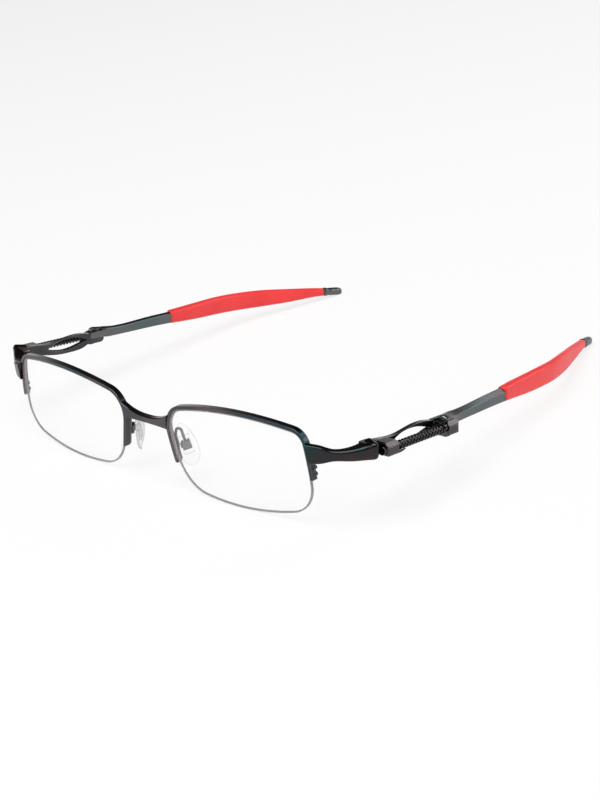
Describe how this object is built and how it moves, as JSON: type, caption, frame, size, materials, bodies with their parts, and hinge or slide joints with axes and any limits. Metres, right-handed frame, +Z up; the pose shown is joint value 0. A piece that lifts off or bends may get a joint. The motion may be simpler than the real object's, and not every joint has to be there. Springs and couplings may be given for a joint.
{
  "type": "eyeglass frame",
  "caption": "Half-rim metal eyeglass frame with clear lenses, folding temples that flex on exposed coil springs, rocking nose pads and rubber ear socks.",
  "frame": {"origin": "middle of the footprint, on the level that the lenses and the temple tips stand on", "axes": "+X to the wearer's left, +Y towards the temple tips, +Z up"},
  "size_m": [0.1556, 0.1302, 0.0282],
  "materials": {
    "black_metal": "semi-gloss black plating",
    "gunmetal": "satin gunmetal plating",
    "grey_metal": "dull steel",
    "spring_steel": "black spring steel",
    "lens": "clear, uncoated",
    "clear_nylon": "clear nylon",
    "white_nylon": "white nylon",
    "clear_silicone": "clear silicone",
    "red_rubber": "matt red rubber"
  },
  "bodies": {
    "front": {"bridge": "black_metal", "rim_left": "black_metal", "rim_liner_left": "clear_nylon", "lens_left": "lens", "lens_cord_left": "clear_nylon", "endpiece_left": "black_metal", "pad_arm_left": "grey_metal", "pad_box_left": "grey_metal", "pad_screw_left": "grey_metal", "hinge_ears_left": "black_metal", "hinge_screw_left": "grey_metal", "hinge_washers_left": "white_nylon", "rim_right": "black_metal", "rim_liner_right": "clear_nylon", "lens_right": "lens", "lens_cord_right": "clear_nylon", "endpiece_right": "black_metal", "pad_arm_right": "grey_metal", "pad_box_right": "grey_metal", "pad_screw_right": "grey_metal", "hinge_ears_right": "black_metal", "hinge_screw_right": "grey_metal", "hinge_washers_right": "white_nylon"},
    "slider_left": {"hinge_slider_left": "black_metal", "spring_rod_left": "grey_metal", "rod_nut_left": "grey_metal"},
    "temple_left": {"temple_loop_left": "black_metal", "coil_spring_left": "spring_steel", "temple_spar_left": "gunmetal", "spar_screw_left": "grey_metal", "ear_sock_left": "red_rubber", "temple_tip_left": "gunmetal"},
    "pad_left": {"nose_pad_left": "clear_silicone", "pad_core_left": "clear_silicone"},
    "slider_right": {"hinge_slider_right": "black_metal", "spring_rod_right": "grey_metal", "rod_nut_right": "grey_metal"},
    "temple_right": {"temple_loop_right": "black_metal", "coil_spring_right": "spring_steel", "temple_spar_right": "gunmetal", "spar_screw_right": "grey_metal", "ear_sock_right": "red_rubber", "temple_tip_right": "gunmetal"},
    "pad_right": {"nose_pad_right": "clear_silicone", "pad_core_right": "clear_silicone"}
  },
  "joints": [
    {"name": "temple_fold_left", "type": "hinge", "parent": "front", "child": "slider_left", "pos_m": [0.07226, -0.05047, 0.02044], "axis": [-0.0065, 0.1684, 0.9857], "range_deg": [0, 84]},
    {"name": "temple_flex_left", "type": "slide", "parent": "slider_left", "child": "temple_left", "axis": [-0.0378, 0.985, -0.1685], "range_m": [0, 0.0012], "stiffness_N_per_m": 1200, "springref_m": -0.002, "deforming": ["coil_spring_left"]},
    {"name": "pad_rock_left", "type": "hinge", "parent": "front", "child": "pad_left", "pos_m": [0.01158, -0.0605, 0.0122], "axis": [0.5954, 0.7896, 0.1485], "range_deg": [-8, 8]},
    {"name": "temple_fold_right", "type": "hinge", "parent": "front", "child": "slider_right", "pos_m": [-0.07226, -0.05047, 0.02044], "axis": [-0.0065, -0.1684, -0.9857], "range_deg": [0, 74]},
    {"name": "temple_flex_right", "type": "slide", "parent": "slider_right", "child": "temple_right", "axis": [0.0378, 0.985, -0.1685], "range_m": [0, 0.0012], "stiffness_N_per_m": 1200, "springref_m": -0.002, "deforming": ["coil_spring_right"]},
    {"name": "pad_rock_right", "type": "hinge", "parent": "front", "child": "pad_right", "pos_m": [-0.01158, -0.0605, 0.0122], "axis": [0.5954, -0.7896, -0.1485], "range_deg": [-8, 8]}
  ]
}
